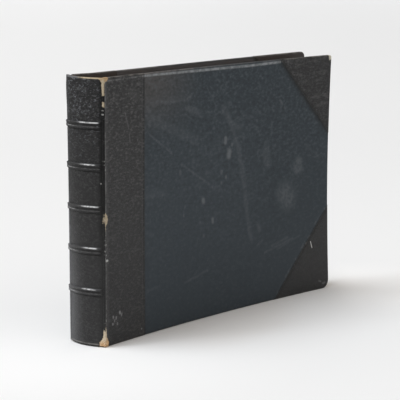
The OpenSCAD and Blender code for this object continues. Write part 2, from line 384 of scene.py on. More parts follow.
def bare_leather(made, from_joint, at_front):
    """Shares of the leather's black face that are lost along the joints and at the head of the fore-edge"""
    strip_widths = [(0, 5.0), (2.5, 7.0), (6, 5.4), (10, 3.6), (16, 2.9), (20, 2.1), (23, 0), (113, 0),
                    (116, 2.4), (121, 2.9), (122.5, 5.0), (127, 6.2), (131, 4.8), (133.5, 2.4), (134.5, 0),
                    (247, 0), (249, 0.2), (259, 0.2), (260.5, 3), (262, 6.5), (265, 9)]
    spine_widths = [(0, 6.6), (6, 4.4), (10, 1.9), (16, 1.4), (20, 0.9), (22, 0), (121, 0), (123, 1.4),
                    (131, 1.45), (133, 1.0), (134, 0), (235, 0), (237, 1.5), (241.5, 1.7), (243, 0.2),
                    (246.5, 0.2), (248, 1.7), (258, 2.0), (261, 2.3), (263, 3.8), (265, 5.2)]
    back_widths = [(0, 3.5), (3, 2), (6, 0), (186, 0), (190, 2.4), (196, 2.6), (199, 0), (265, 0)]
    on_strip = made.rise(made.x, -0.3, 0.7)
    strip = made.along(made.z, cover_height, strip_widths)
    spine = made.along(made.z, cover_height, spine_widths)
    back = made.along(made.z, cover_height, back_widths) * on_strip
    front = made.node("Mix", {"data_type": "FLOAT"}, {0: on_strip, 2: spine, 3: strip})
    width = made.node("Mix", {"data_type": "FLOAT"}, {0: at_front, 2: back, 3: front})
    torn = made.noise(2.2, 4.0, 0.7) - 0.5
    along_joint = made.rise(width + torn * (width + 1.6) - from_joint, -0.1, 0.4)
    below_head = cover_height - made.z
    corner_tip = made.rise(made.x + torn * 5.0 - below_head * 0.2, cover_width - 6.2, cover_width - 4.4)
    corner_tip = corner_tip * made.fall(below_head + torn * 13.0, 5.5, 8.0) * at_front
    return along_joint, corner_tip, width


def leather_finish():
    """Black goatskin with a pebbled grain, rubbed grey on its edges and tan where the joints have split,
    with painted highlights on the raised bands, painted sheen along the back of the spine and painted shade
    in the front groove and along the bands
    """
    made = Finish("black_leather", {"Specular IOR Level": 0.45})
    # Wear on the edges of the covers, and painted highlights and shade on the spine's bands
    rub = made.held("rub")
    inside = made.held("inside")
    at_front = made.fall(made.y, -1.0, 1.0)
    on_spine = made.fall(made.x, 0.6, 2.4)
    at_corner = made.rise(made.x, 240.0, 280.0)
    head_corner = at_corner * made.rise(made.z, 150.0, 200.0)
    coarse = on_spine * made.rise(made.z, 140.0, 250.0) + head_corner * 0.5
    beyond = abs(made.y) - joint_y
    from_joint = made.length(made.x, beyond)

    wander = made.node("TexNoise", {}, {"Vector": made.place, "Scale": 1 / 3.0, "Detail": 2.0}, "Color")
    bent = made.node("VectorMath", {"operation": "ADD"}, {0: made.place, 1: wander})
    pebble = made.rise(made.cells(1.6, bent), 0.0, 0.25)
    wrinkle = made.noise(0.8, 3.0, 0.6)
    crinkle = made.noise(2.8, 3.0, 0.6, made.stretched(1.0, 0.7, 1.7), 0.9)
    grain = made.noise(2.6, 2.0, 0.55, made.stretched(0.62, 0.8, 1.25))
    on_band = made.rise(abs(rub), 0.1, 0.5) * on_spine
    height = pebble * 0.4 + wrinkle * 0.2 + grain + crinkle * coarse * 2.8 * (1 - on_band * 0.8)

    broad = made.noise(45.0, 3.0, 0.55)
    depth = 0.4 + made.rise(made.z, 70.0, 250.0) * 0.45 + on_spine * 0.2
    darker = on_spine * made.rise(made.z, 10.0, 200.0) * 0.7
    smooth = on_spine * made.fall(made.z, 190.0, 250.0) * 0.6
    raised = made.rise(grain, 0.50, 0.70) * (1 - coarse * 0.5) * (1 - smooth) * depth
    hollow = made.fall(grain, 0.34, 0.50) * depth
    tops = made.rise(crinkle, 0.54, 0.72) * coarse * 0.8
    made.colour = made.mix(broad, (0.009, 0.009, 0.0098), (0.019, 0.0185, 0.0195))
    made.lay(darker, (0.003, 0.003, 0.0035))
    made.lay(raised, (0.085, 0.084, 0.081))
    made.lay(hollow, (0.001, 0.001, 0.001))
    made.lay(made.fall(pebble, 0.0, 0.6) * 0.4, (0.004, 0.004, 0.004))
    made.lay(tops, (0.158, 0.163, 0.182))
    made.lay(made.fall(crinkle, 0.34, 0.48) * coarse, (0.002, 0.002, 0.002))
    head_panel = on_spine * made.rise(made.z, 224.0, 236.0) * made.rise(made.y, -14.0, 4.0)
    bruises = made.patches(5.0, 3.0, 0.6, 0.55, 0.68) * head_panel
    made.lay(bruises * made.rise(grain, 0.42, 0.58) * 0.7, (0.166, 0.172, 0.19))
    made.lay(at_corner * 0.65 - head_corner * 0.36, (0.004, 0.004, 0.004))
    fold = made.noise(7.0, 3.0, 0.6, made.stretched(0.5, 1.0, 1.3))
    made.lay(made.fall(fold, 0.30, 0.46) * at_corner * 0.7, (0.002, 0.002, 0.002))
    made.lay(made.rise(fold, 0.52, 0.70) * head_corner * 0.4, (0.085, 0.082, 0.08))
    head_gap = made.past_head_diagonal()
    made.lay(made.fall(head_gap, 0.5, 3.5) * head_corner * 0.7, (0.003, 0.003, 0.003))
    # Painted sheen on the lower part of the spine, lighter towards the back joint
    painted_back_sheen = on_spine * made.rise(made.y, -3.0, 25.0) * made.fall(made.z, 30.0, 150.0)
    made.lay(painted_back_sheen * 0.41, (0.148, 0.15, 0.16))
    # Painted sheen along the back edge of the spine, in patches, strongest towards the tail
    painted_back_edge_sheen = on_spine * made.rise(made.y, joint_y - 2.0, joint_y + 0.6)
    painted_back_edge_sheen = painted_back_edge_sheen * (0.2 + made.fall(made.z, 110.0, 160.0) * 0.5)
    painted_back_edge_sheen = painted_back_edge_sheen * (0.6 + made.patches(8.0, 5.0, 0.7, 0.38, 0.6) * 0.5)
    made.lay(painted_back_edge_sheen, (0.24, 0.243, 0.255))
    # Painted shade in the groove beside the front joint
    painted_groove_shade = on_spine * made.fall(from_joint, 2.0, 7.0) * at_front
    made.lay(painted_groove_shade * 0.9, (0.002, 0.002, 0.002))
    # Painted shade across the middle and at the foot of each band
    painted_band_shade = made.rise(rub * -1.0, 0.1, 0.9)
    made.lay(painted_band_shade, (0.003, 0.003, 0.003))
    made.lay(inside * 0.8, (0.055, 0.045, 0.045))

    patchy = made.patches(9.0, 5.0, 0.7, 0.36, 0.62)
    upper = 0.25 + made.rise(made.z, 205.0, 262.0) * 0.75
    edges = made.rise(rub, 0.0, 1.0) * patchy * upper * (1 - on_spine) * 0.8
    glints = made.patches(3.2, 3.0, 0.6, 0.34, 0.58)
    # Painted highlights on the edges of the raised bands, broken into patches
    painted_band_highlights = made.rise(rub, 0.1, 1.0) * (0.25 + glints * 0.75) * on_spine
    made.lay(edges, (0.20, 0.19, 0.175))
    made.lay(painted_band_highlights, (0.68, 0.68, 0.68))

    crest = made.fall(abs(made.x - 2.4), 0.6, 2.0) * made.fall(abs(beyond), 1.5, 3.0) * at_front
    crest = crest * (0.25 + made.patches(5.0, 4.0, 0.7, 0.42, 0.6) * 0.75) * 0.4
    ledge = made.fall(made.x, 3.0, 9.0) * made.rise(made.x, 0.8, 2.0) * at_front * 0.09
    scratches = made.marks([((34, 229), (40, 212), 1.3, 0.16), ((41, 206), (42, 198), 1.3, 0.16),
                            ((59.2, 7.8), (59.6, 7.8), 1.4, 0.6), ((44, 247), (54, 243), 8.0, 0.06)])
    scuffs = made.marks([((13.8, 28.4), (13.8, 27.6), 1.9, 0.65), ((24.2, 31.4), (24.6, 30.2), 2.1, 0.75),
                         ((12.9, 21.6), (12.9, 20.8), 1.8, 0.6), ((18.5, 26.8), (18.3, 25.6), 1.8, 0.6),
                         ((20.3, 20.8), (20.2, 19.8), 1.7, 0.5), ((16.0, 24.6), (15.6, 23.4), 1.6, 0.5),
                         ((27.4, 29.0), (26.8, 27.6), 1.9, 0.5), ((361, 9.5), (364, 8.5), 1.6, 0.3),
                         ((367, 6), (371, 6.5), 1.8, 0.28)], 1.2)
    head_line = made.marks([((6, 261.6), (66, 262.2), 1.3, 0.45), ((292, 261.6), (304, 261.5), 1.8, 0.4),
                            ((304, 261.5), (330, 261.2), 1.8, 0.18)])
    worn = made.larger(made.larger(crest, scratches), made.larger(scuffs, head_line * patchy))
    worn = made.larger(worn, ledge)
    made.lay(worn, (0.25, 0.25, 0.25))
    often = made.along(made.z, cover_height, [(0, 0), (76, 0), (84, 1), (112, 1), (116, 0), (265, 0)])
    chipped = made.rise(made.noise(2.2, 2.0) + often * 0.11, 0.69, 0.75) * at_front
    chipped = chipped * made.fall(from_joint, 2.4, 3.6 + often * 3.0) * made.rise(made.x, -1.2, -0.2)
    nicks = made.marks([((347.4, 56.4), (349.8, 49.2), 0.8, 1.0), ((339.2, 56.5), (339.6, 54.5), 0.7, 0.3),
                        ((3, 86), (5, 86), 1.7, 0.7), ((1.6, 27.3), (1.6, 25.9), 1.3, 0.8),
                        ((1.5, 176.4), (1.6, 175.2), 1.3, 0.7), ((-1.0, 230.2), (-1.0, 229.2), 0.45, 0.5),
                        ((-1.0, 233.8), (-1.0, 233.2), 0.4, 0.4), ((-1.7, 162.8), (-1.7, 162.0), 0.5, 0.4),
                        ((-0.5, 184.6), (-0.5, 184.0), 0.7, 0.4), ((-0.5, 181.0), (-0.5, 180.5), 0.6, 0.35)])
    made.lay(made.larger(chipped * 0.5, nicks), (0.62, 0.62, 0.60))

    end_roll = made.rise(made.z, spine_head - 1.6, spine_head - 0.7) * on_spine
    end_roll = end_roll * made.patches(5.0, 4.0, 0.7, 0.34, 0.46)
    roll_tone = made.mix(made.fall(made.y, -2.0, 8.0), (0.16, 0.16, 0.165), (0.56, 0.46, 0.31))
    tail_roll = made.fall(abs(made.z - spine_low - 1.6), 0.4, 1.0) * on_spine * (0.4 + patchy * 0.6)
    made.lay(tail_roll * 0.6, (0.25, 0.24, 0.22))
    made.lay(end_roll * 0.9, roll_tone)

    along_joint, corner_tip, width = bare_leather(made, from_joint, at_front)
    bare = made.larger(along_joint, corner_tip)
    fibre = made.noise(1.3, 4.0, 0.65)
    ochre = made.mix(made.rise(fibre, 0.35, 0.65), (0.52, 0.28, 0.12), (0.77, 0.55, 0.33))
    cream = made.mix(made.rise(fibre, 0.3, 0.65), (0.46, 0.36, 0.24), (0.72, 0.62, 0.47))
    at_ends = made.larger(made.fall(made.z, 20.0, 40.0), made.rise(made.z, 240.0, 255.0))
    tan = made.mix(made.rise(width, 2.6, 6.5) * at_ends, cream, ochre)
    tan = made.mix(made.rise(made.z, 60.0, 110.0) * 0.42, tan, (0.22, 0.18, 0.11))
    made.lay(along_joint, tan)
    made.lay(corner_tip, made.mix(fibre, (0.48, 0.44, 0.34), (0.70, 0.68, 0.58)))

    # Painted shade: a metallic share in the dark groove by the front joint and in the dark lines of the
    # bands takes away their sheen
    painted_recess_shade = made.larger(painted_groove_shade * made.rise(made.z, 70.0, 160.0) * 0.4, painted_band_shade * 0.4) * (1 - bare)
    made.feed(made.shader.inputs["Metallic"], painted_recess_shade)
    dull = on_spine * made.rise(made.z, 60.0, 180.0) * 0.14
    roughness = 0.36 + coarse * 0.14 + dull + wrinkle * 0.12 + (1 - on_spine) * 0.1
    roughness = roughness - on_band * 0.12 + bare * 0.35
    height = height * (1 - bare * 0.6) - bare * 0.5
    return made.done(roughness, height, 0.3)


def cloth_marks(made, at_front):
    """Rubs and scratches of the front cloth"""
    dabs = made.marks([((200.3, 187.0), (200.1, 182.4), 3.9, 0.5), ((211.3, 179), (211.3, 178.6), 3.0, 0.3),
                       ((207, 172), (206.2, 167.4), 5.6, 0.52), ((193.9, 152.3), (193.9, 151.3), 3.6, 0.22),
                       ((201.5, 145.8), (201.5, 145.2), 2.8, 0.3), ((194, 140.2), (194, 139.8), 2.8, 0.22),
                       ((163.2, 125.6), (163.6, 123.8), 4.4, 0.42), ((179.3, 103), (179.3, 100.4), 3.2, 0.4),
                       ((158, 103), (158, 102), 2.2, 0.15), ((124.5, 160), (124.5, 158), 3.4, 0.22),
                       ((130.5, 114), (130.5, 113), 2.2, 0.24), ((132.5, 122.5), (132.5, 121.5), 2.0, 0.18),
                       ((164, 88), (164, 87), 2.8, 0.18), ((178.5, 138), (178.5, 137), 2.4, 0.16),
                       ((292, 220), (296, 215), 2.4, 0.18), ((300, 211), (301, 210), 2.4, 0.16),
                       ((257, 86), (259, 81), 4.5, 0.14)], 1.5)
    scratches = made.marks([((72, 204), (111, 180), 1.8, 0.18), ((128, 166), (174, 141), 2.0, 0.17),
                            ((168, 243), (183, 223), 1.8, 0.12), ((132, 43), (170, 50), 2.2, 0.13),
                            ((67, 44), (90, 46), 2.6, 0.10), ((268, 55), (316, 64), 2.4, 0.17),
                            ((255, 65), (264, 69), 2.2, 0.13), ((281, 61), (307, 66), 2.6, 0.17),
                            ((290, 56), (329, 66), 2.0, 0.12), ((337, 167), (363, 150), 2.2, 0.10)], 3.0)
    smears = made.marks([((68, 226), (82, 233), 5.0, 0.12), ((82, 233), (140, 235), 5.0, 0.12),
                         ((78, 217), (149, 190), 8.0, 0.13), ((136, 223), (156, 217), 6.0, 0.18),
                         ((196, 218), (211, 200), 6.0, 0.18), ((211, 200), (224, 196), 6.0, 0.15),
                         ((211, 197), (223, 172), 5.5, 0.15), ((223, 172), (232, 139), 6.0, 0.17),
                         ((232, 139), (236, 111), 6.0, 0.15), ((236, 111), (245, 72), 5.5, 0.15),
                         ((270, 167), (272, 154), 10.0, 0.18), ((325, 146), (325, 142), 12.0, 0.32),
                         ((302, 116), (308, 110), 20.0, 0.28), ((66, 142), (99, 141), 6.0, 0.10)], 7.0)
    tail_gap = (made.x - cover_width - made.z + tail_reach) * ACROSS_DIAGONAL
    dashes = made.patches(9.0, 3.0, 0.6, 0.48, 0.62)
    tail_edge = made.rise(tail_gap, -4.0, -2.0) * at_front * (0.03 + dashes * 0.26)
    broken = made.patches(6.0, 4.0, 0.65, 0.36, 0.6)
    torn = made.patches(4.0, 4.0, 0.7, 0.42, 0.6)
    soft = made.larger(smears * (0.35 + broken * 0.65), tail_edge)
    return made.larger(made.larger(dabs, soft), scratches * (0.5 + torn * 0.5))


def cloth_finish():
    """Blue-green book cloth with a fine grain, faded, scuffed and scratched, with a painted shadow beside
    the edges of the leather
    """
    made = Finish("blue_green_cloth", {"Specular IOR Level": 0.35})
    at_front = made.fall(made.y, -1.0, 1.0)
    grain = made.rise(made.cells(0.75, None, "F1"), 0.1, 0.75)
    fine = made.noise(0.5, 2.0)
    broad = made.noise(70.0, 4.0, 0.6)
    mottle = made.noise(12.0, 4.0, 0.65)
    fleck = made.noise(3.0, 2.0, 0.55, made.stretched(0.65, 0.65, 1.0))
    made.colour = made.mix(broad, (0.0145, 0.0245, 0.0315), (0.021, 0.032, 0.0415))
    made.lay(mottle * 0.5, (0.028, 0.039, 0.049))
    middle = made.fall(abs(made.z - 135.0), 10.0, 110.0) * made.fall(made.x, 200.0, 300.0)
    made.lay(middle * 0.3, (0.040, 0.052, 0.064))
    faded = made.fall(made.x, 70.0, 170.0) * made.rise(made.z, 190.0, 262.0)
    made.lay(faded * 0.8, (0.068, 0.061, 0.057))
    low = made.fall(made.z, 0.0, 150.0)
    made.lay(low * 0.5, (0.028, 0.038, 0.048))
    strength = 0.14 + made.rise(made.z, 30.0, 250.0) * 0.36
    made.lay(made.rise(fleck, 0.48, 0.74) * strength, (0.082, 0.096, 0.106))
    made.lay(made.fall(fleck, 0.26, 0.50) * strength, (0.005, 0.010, 0.014))
    made.lay(made.held("inside") * 0.85, (0.10, 0.097, 0.107))
    top_edge = made.rise(made.z, cover_height - 1.2, cover_height - 0.7)
    made.lay(top_edge * 0.75, (0.010, 0.014, 0.018))

    head_gap = made.past_head_diagonal()
    beside_strip = made.fall(made.x, strip_width + 0.4, strip_width + 1.8)
    # Painted shadow on the cloth beside the edge of the head corner and of the strip
    painted_seam_shadow = made.larger(made.rise(head_gap, -6.0, -0.8), beside_strip)
    made.lay(painted_seam_shadow * 0.75, (0.006, 0.008, 0.009))

    specks = made.rise(made.noise(3.4, 2.0), 0.70, 0.76) * 0.12
    made.lay(made.larger(cloth_marks(made, at_front), specks), (0.17, 0.185, 0.195))
    head_line = made.marks([((66, 262.2), (139, 261.4), 1.9, 0.85), ((139, 261.4), (239, 260.8), 2.1, 0.9),
                            ((239, 260.8), (290, 261.6), 2.1, 0.9)])
    broken = made.patches(5.0, 4.0, 0.65, 0.36, 0.6)
    made.lay(head_line * (0.45 + broken * 0.55), (0.28, 0.295, 0.305))

    worn = made.held("rub") * made.patches(14.0, 4.0, 0.65, 0.3, 0.6)
    worn = worn * (0.2 + made.rise(made.z, 225.0, 262.0) * 0.8)
    worn = worn * (0.45 + made.fall(made.x, 130.0, 210.0) * 0.55)
    made.lay(worn * 0.7, (0.21, 0.195, 0.19))
    roughness = 0.55 + mottle * 0.12 - worn * 0.1
    return made.done(roughness, grain * 0.6 + fine * 0.4 + fleck * 0.7, 0.1)


def paper_finish(name, pale, toned, toned_edge=12.0):
    """Aged paper or card, browner towards its free edges, with a few brown spots"""
    made = Finish(name, {"Specular IOR Level": 0.25})
    fibre = made.noise(0.9, 4.0, 0.65)
    cloud = made.noise(60.0, 3.0)
    to_head = leaf_head - made.z
    to_tail = made.z - leaf_tail
    to_fore = leaf_end - made.x
    nearest = to_head.maths("MINIMUM", to_head, to_tail)
    nearest = nearest.maths("MINIMUM", nearest, to_fore)
    edge = made.fall(nearest + (made.noise(20.0, 4.0) - 0.5) * 10.0, 0.0, toned_edge)
    made.colour = made.mix(cloud * 0.5 + fibre * 0.25, pale, toned)
    made.lay(edge * 0.6, toned)
    spots = made.patches(7.0, 3.0, 0.6, 0.69, 0.76)
    made.lay(spots * 0.45, (0.33, 0.19, 0.08))
    return made.done(0.8 + fibre * 0.1, fibre, 0.05)


def board_finish():
    """Brown millboard with coarse fibres"""
    made = Finish("brown_millboard", {"Specular IOR Level": 0.2})
    fibre = made.noise(2.0, 5.0, 0.7, made.stretched(0.4, 1.0, 0.4))
    fleck = made.rise(made.noise(1.2, 2.0), 0.62, 0.7)
    made.colour = made.mix(fibre, (0.16, 0.10, 0.055), (0.32, 0.23, 0.14))
    made.lay(fleck * 0.5, (0.07, 0.045, 0.03))
    return made.done(0.85 + fibre * 0.1, fibre, 0.15)


def weave_finish(name, pale, dark, thread):
    """Plain woven cloth"""
    made = Finish(name, {"Specular IOR Level": 0.2})
    turn = math.tau / (2 * thread)
    across = (made.x + made.y) * turn
    along = made.z * turn
    over = across.maths("SINE", across) * along.maths("SINE", along)
    weave = abs(over)
    slub = made.noise(4.0, 3.0, 0.6, made.stretched(1.0, 1.0, 0.15))
    made.colour = made.mix(weave * 0.6 + slub * 0.4, dark, pale)
    return made.done(0.8 + slub * 0.1, weave + slub * 0.4, 0.12)


def silk_finish():
    """Silk worked in two colours, in turns across the band"""
    made = Finish("worked_silk", {"Specular IOR Level": 0.4})
    turn = made.y * (math.tau / 4.0)
    stripe = made.rise(turn.maths("SINE", turn), -0.2, 0.2)
    strand = made.y * (math.tau / 0.5)
    ridge = strand.maths("SINE", strand) * 0.5 + 0.5
    dust = made.noise(3.0, 3.0)
    made.colour = made.mix(stripe, (0.26, 0.035, 0.03), (0.55, 0.44, 0.28))
    made.lay(dust * 0.35, (0.2, 0.16, 0.12))
    return made.done(0.4 + dust * 0.25, ridge, 0.1)


def print_finish(number):
    """Toned print of open country, with its own hills and trees on each side of each leaf"""
    made = Finish(f"toned_print_{number:02d}", {"Specular IOR Level": 0.45})
    own = made.stretched(1.0, 60.0, 1.0)
    here = made.node("VectorMath", {"operation": "ADD"}, {0: own, 1: (613.0 * number, 0.0, 37.0 * number)})
    line = made.node("VectorMath", {"operation": "MULTIPLY"}, {0: here, 1: (1.0, 1.0, 0.0)})
    low = made.node("VectorMath", {"operation": "MULTIPLY"}, {0: here, 1: (0.4, 1.0, 2.0)})
    middle_x = (print_low.x + print_high.x) / 2 - axis_x
    middle_z = (print_low.z + print_high.z) / 2
    hills = middle_z + 4.0 + 3.0 * (number % 4) + (made.noise(70.0, 4.0, 0.5, line) - 0.5) * 70.0
    trees = middle_z - 22.0 + (made.noise(38.0, 8.0, 0.72, line) - 0.5) * 80.0
    haze = made.noise(90.0, 4.0, 0.55, here)
    leaves = made.noise(5.0, 5.0, 0.7, here)
    ground = made.noise(16.0, 5.0, 0.65, low)
    sky = 0.62 + haze * 0.3
    hill_tone = 0.42 + haze * 0.16
    tree_tone = 0.05 + leaves * 0.3
    below_hills = made.fall(made.z - hills, -1.5, 1.5)
    below_trees = made.fall(made.z - trees + (leaves - 0.5) * 14.0, -1.5, 1.5)
    near = made.fall(made.z, print_low.z + 12.0, print_low.z + 62.0 + (number % 3) * 8.0)
    tone = sky + below_hills * (hill_tone - sky)
    tone = tone + below_trees * (tree_tone - tone)
    tone = tone + near * (0.2 + ground * 0.42 - tone)
    inside_x = made.fall(abs(made.x - middle_x), 96.0, 125.0)
    inside_z = made.fall(abs(made.z - middle_z), 70.0, 97.0)
    tone = tone + (1 - inside_x * inside_z) * (0.66 - tone) * 0.45
    made.colour = made.mix(tone, (0.035, 0.018, 0.009), (0.62, 0.48, 0.29))
    return made.done(0.32 + haze * 0.1, leaves, 0.01)


black_leather = leather_finish()
blue_green_cloth = cloth_finish()
leaf_card = paper_finish("leaf_card", (0.74, 0.67, 0.53), (0.55, 0.43, 0.28))
end_paper = paper_finish("end_paper", (0.68, 0.60, 0.46), (0.46, 0.34, 0.2), 26.0)
lining_paper = paper_finish("lining_paper", (0.42, 0.32, 0.21), (0.28, 0.2, 0.12))
millboard = board_finish()
linen = weave_finish("guard_linen", (0.56, 0.49, 0.37), (0.3, 0.25, 0.17), 0.9)
tape_weave = weave_finish("tape_weave", (0.62, 0.57, 0.46), (0.36, 0.31, 0.22), 0.6)
thread_finish = weave_finish("waxed_thread", (0.68, 0.63, 0.52), (0.42, 0.37, 0.27), 0.4)
worked_silk = silk_finish()


# Meshes

def new_piece(name, solid, body, finish, nodes):
    """Makes a piece from a finished mesh, which rides on a body in place of its nodes"""
    mesh = bpy.data.meshes.new(name)
    solid.to_mesh(mesh)
    solid.free()
    mesh.materials.append(finish)
    mesh.polygons.foreach_set("use_smooth", [True] * len(mesh.polygons))
    mesh.set_sharp_from_angle(angle=math.radians(SHARP_DEGREES))
    piece = bpy.data.objects.new(name, mesh)
    bpy.context.scene.collection.objects.link(piece)
    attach(piece, body)
    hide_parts(*nodes)


def thicken(solid, thickness):
    """Gives an open sheet its thickness, inwards, and closes its edges"""
    solid.normal_update()
    edges = [edge for edge in solid.edges if edge.is_boundary]
    loops = [edge.link_loops[0] for edge in edges]
    ends = [(loop.vert, loop.link_loop_next.vert) for loop in loops]
    made = bmesh.ops.duplicate(solid, geom=solid.verts[:] + solid.edges[:] + solid.faces[:])
    partner = made["vert_map"]
    copies = [part for part in made["geom"] if isinstance(part, bmesh.types.BMVert)]
    for point in copies:
        point.co = point.co - partner[point].normal * thickness
    faces = [part for part in made["geom"] if isinstance(part, bmesh.types.BMFace)]
    bmesh.ops.reverse_faces(solid, faces=faces)
    for first, second in ends:
        solid.faces.new((second, first, partner[first], partner[second]))


class Slab:
    """Flat sheet with free edges at the tail, fore-edge and head, in (x, depth, z)"""

    def __init__(self, low, high, radii, steps, border):
        self.low = low
        self.high = high
        self.radii = radii
        self.columns, self.rows = steps
        self.border = border
        self.solid = bmesh.new()
        self.rub = self.solid.verts.layers.float.new("rub")
        self.inside = self.solid.verts.layers.float.new("inside")

    def point(self, x, depth, z, rub):
        made = self.solid.verts.new((x, depth, z))
        made[self.rub] = rub
        return made

    def ring(self, start, inset, depth, rub):
        """Points along the free edges, from the joint at the tail to the joint at the head"""
        tail = max(self.radii[0], inset)
        head = max(self.radii[1], inset)
        right = self.high[0]
        bottom = self.low[1]
        top = self.high[1]
        arc = 6
        spots = []
        for i in range(self.columns + 1):
            spots.append((start + (right - tail - start) * i / self.columns, bottom + inset))
        for i in range(1, arc):
            angle = math.radians(90 * i / arc)
            spots.append((right - tail + (tail - inset) * math.sin(angle),
                          bottom + tail - (tail - inset) * math.cos(angle)))
        for i in range(self.rows + 1):
            spots.append((right - inset, bottom + tail + (top - head - bottom - tail) * i / self.rows))
        for i in range(1, arc):
            angle = math.radians(90 * i / arc)
            spots.append((right - head + (head - inset) * math.cos(angle),
                          top - head + (head - inset) * math.sin(angle)))
        for i in range(self.columns, -1, -1):
            spots.append((start + (right - head - start) * i / self.columns, top - inset))
        return [self.point(x, depth, z, rub) for x, z in spots]

    def face(self, start, depth, outwards):
        """Middle of a face, inside its border"""
        right = self.high[0] - self.border
        bottom = self.low[1] + self.border
        top = self.high[1] - self.border
        grid = [[self.point(start + (right - start) * i / self.columns, depth,
                            bottom + (top - bottom) * j / self.rows, 0.0)
                 for i in range(self.columns + 1)] for j in range(self.rows + 1)]
        for lower, upper in zip(grid, grid[1:]):
            for i in range(self.columns):
                corners = (lower[i], lower[i + 1], upper[i + 1], upper[i])
                self.solid.faces.new(corners if outwards else corners[::-1])

    def join(self, rings):
        for inner, outer in zip(rings, rings[1:]):
            for i in range(len(inner) - 1):
                self.solid.faces.new((outer[i], outer[i + 1], inner[i + 1], inner[i]))

    def merge(self):
        bmesh.ops.remove_doubles(self.solid, verts=self.solid.verts[:], dist=0.0005)
        bmesh.ops.dissolve_degenerate(self.solid, edges=self.solid.edges[:], dist=0.0005)

    def bend(self, where, mirrored=False):
        """Moves the flat sheet to its place in the frame"""
        for point in self.solid.verts:
            point[self.inside] = smooth_step(board_inside - 1.0, board_inside + 0.3, point.co.y)
            point.co = where(*point.co)
        if mirrored:
            bmesh.ops.reverse_faces(self.solid, faces=self.solid.faces[:])
        self.solid.normal_update()
        return self.solid


def edge_rings(slab, start, inset, low, high, radius, wear, inside):
    """Rings over a rounded edge, from the border of the outer face to a distance inside the inner face"""
    outer = [(slab.border, low, 0.0), (slab.border * 0.55, low, 0.0), (inset + radius * 2.6, low, 0.0)]
    inner = []
    for degrees in (0, 18, 36, 54, 72, 90):
        angle = math.radians(degrees)
        along = radius * (1 - math.sin(angle))
        across = radius * (1 - math.cos(angle))
        rub = wear * math.sin(2 * angle) ** 0.5
        outer.append((inset + along, low + across, rub))
        inner.append((inset + across, high - along, rub))
    middle = [(inset, (low + high) / 2, wear * 0.15)]
    inner += [(inset + radius * 2.6, high, 0.0), (inside * 0.55, high, 0.0), (inside, high, 0.0)]
    return [slab.ring(start(depth), at, depth, rub) for at, depth, rub in outer + middle + inner]


def covering(side, thickness):
    """Covering of a whole cover, wrapped over its edges and turned in, still flat"""
    inset = leather_thickness - thickness
    radii = (tail_corner_radius[side], head_corner_radius[side])
    slab = Slab((strip_start, 0.0), (cover_width, cover_height), radii, cover_steps, cover_border)
    deep = board_inside + thickness

    def start(depth):
        return strip_start + (joint_gap - strip_start) * smooth_step(0.0, leather_thickness, depth)

    slab.face(strip_start, inset, True)
    slab.join(edge_rings(slab, start, inset, inset, deep, arris, 1.0, leather_thickness + turn_in))
    slab.merge()
    return slab


def cut(slab, place, away):
    """Removes what lies past a plane through a place, in the direction away from it"""
    parts = slab.solid.verts[:] + slab.solid.edges[:] + slab.solid.faces[:]
    bmesh.ops.bisect_plane(slab.solid, geom=parts, plane_co=place, plane_no=away, clear_outer=True)


def score(slab, place, away, back, deep):
    """Presses a line into the outer face, at a distance back from a plane"""
    away = Vector(away).normalized()
    for offset in (-0.7, 0.0, 0.7):
        parts = slab.solid.verts[:] + slab.solid.edges[:] + slab.solid.faces[:]
        line = Vector(place) - away * (back + offset)
        bmesh.ops.bisect_plane(slab.solid, geom=parts, plane_co=line, plane_no=away)
    middle = Vector(place) - away * back
    for point in slab.solid.verts:
        if abs((point.co - middle).dot(away)) < 0.01 and point.co.y < 0.3:
            point.co.y += deep


def solid_slab(low, high, radii, steps, inset, depths, radius):
    """Closed board or sheet with rounded edges, still flat"""
    slab = Slab(low, high, radii, steps, max(inset + 3 * radius + 1.0, max(radii) + 1.0))
    slab.face(low[0], depths[0], True)
    slab.join(edge_rings(slab, lambda depth: low[0], inset, depths[0], depths[1], radius, 0.0, slab.border))
    slab.face(low[0], depths[1], False)
    slab.merge()
    open_edges = [edge for edge in slab.solid.edges if edge.is_boundary]
    bmesh.ops.holes_fill(slab.solid, edges=open_edges, sides=0)
    return slab


# Covers

head_diagonal = ((cover_width - head_reach, 0.0, cover_height), (1.0, 0.0, 1.0))
tail_diagonal = ((cover_width - tail_reach, 0.0, 0.0), (1.0, 0.0, -1.0))
strip_edge = ((strip_width, 0.0, 0.0), (1.0, 0.0, 0.0))


def turned(plane):
    place, away = plane
    return place, tuple(-part for part in away)


def cover_piece(side, name, slab, finish):
    name = f"{SIDE_NAMES[side]}_{name}"
    body = f"{SIDE_NAMES[side]}_cover"
    solid = slab.bend(lambda x, depth, z: cover_spot(side, x, depth, z), side == BACK)
    new_piece(f"{name}_piece", solid, body, finish, [name])


